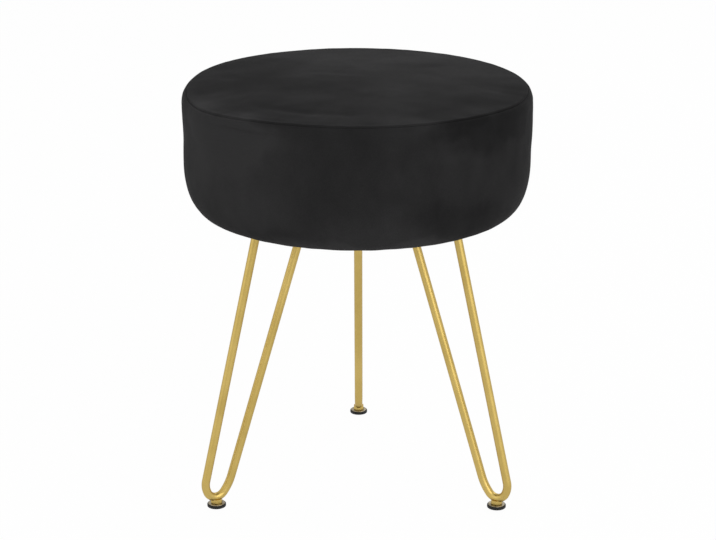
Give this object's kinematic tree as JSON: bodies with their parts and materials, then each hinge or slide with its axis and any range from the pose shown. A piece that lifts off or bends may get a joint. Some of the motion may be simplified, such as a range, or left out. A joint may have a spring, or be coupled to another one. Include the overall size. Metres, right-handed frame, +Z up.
{
  "type": "round footstool",
  "caption": "Round upholstered footstool: a crowned velvet seat on hairpin legs of bent rod, each with a levelling foot.",
  "frame": {"origin": "on the floor, on the axis of the round seat", "axes": "+Z up along the axis of the seat; +Y towards the rear leg; +X to the right as seen from the front"},
  "size_m": [0.327, 0.3329, 0.4],
  "materials": {
    "velvet": "short-pile velvet",
    "foam": "open-cell foam",
    "plywood": "raw plywood",
    "dust_cloth": "non-woven cloth",
    "gold_coat": "satin",
    "nickel": "satin",
    "zinc_steel": "zinc plated",
    "black_steel": "black oxide",
    "black_plastic": "matt"
  },
  "bodies": {
    "stool": {"velvet_top": "velvet", "velvet_band": "velvet", "foam_cushion": "foam", "base_board": "plywood", "dust_cover": "dust_cloth", "cover_staples": "zinc_steel", "tee_nuts": "zinc_steel", "plate_screws": "black_steel", "spring_washers": "black_steel", "rear_leg_rod": "gold_coat", "left_leg_rod": "gold_coat", "right_leg_rod": "gold_coat", "rear_leg_plate": "gold_coat", "left_leg_plate": "gold_coat", "right_leg_plate": "gold_coat", "rear_weld_nut": "gold_coat", "left_weld_nut": "gold_coat", "right_weld_nut": "gold_coat"},
    "rear_foot": {"rear_foot_base": "black_plastic"},
    "rear_foot_screw": {"rear_foot_disc": "nickel", "rear_foot_stud": "zinc_steel"},
    "left_foot": {"left_foot_base": "black_plastic"},
    "left_foot_screw": {"left_foot_disc": "nickel", "left_foot_stud": "zinc_steel"},
    "right_foot": {"right_foot_base": "black_plastic"},
    "right_foot_screw": {"right_foot_disc": "nickel", "right_foot_stud": "zinc_steel"}
  },
  "joints": [
    {"name": "rear_foot_height", "type": "slide", "parent": "stool", "child": "rear_foot", "axis": [0, 0, -1], "range_m": [0, 0.004]},
    {"name": "rear_foot_turn", "type": "hinge", "parent": "rear_foot", "child": "rear_foot_screw", "pos_m": [0, 0.1545, 0], "axis": [0, 0, -1], "range_deg": [0, 1440]},
    {"name": "left_foot_height", "type": "slide", "parent": "stool", "child": "left_foot", "axis": [0, 0, -1], "range_m": [0, 0.004]},
    {"name": "left_foot_turn", "type": "hinge", "parent": "left_foot", "child": "left_foot_screw", "pos_m": [-0.1338, -0.07725, 0], "axis": [0, 0, -1], "range_deg": [0, 1440]},
    {"name": "right_foot_height", "type": "slide", "parent": "stool", "child": "right_foot", "axis": [0, 0, -1], "range_m": [0, 0.004]},
    {"name": "right_foot_turn", "type": "hinge", "parent": "right_foot", "child": "right_foot_screw", "pos_m": [0.1338, -0.07725, 0], "axis": [0, 0, -1], "range_deg": [0, 1440]}
  ],
  "couplings": [
    {"joint": "rear_foot_turn", "follows": "rear_foot_height", "rad_per_m": 6283.2},
    {"joint": "left_foot_turn", "follows": "left_foot_height", "rad_per_m": 6283.2},
    {"joint": "right_foot_turn", "follows": "right_foot_height", "rad_per_m": 6283.2}
  ]
}
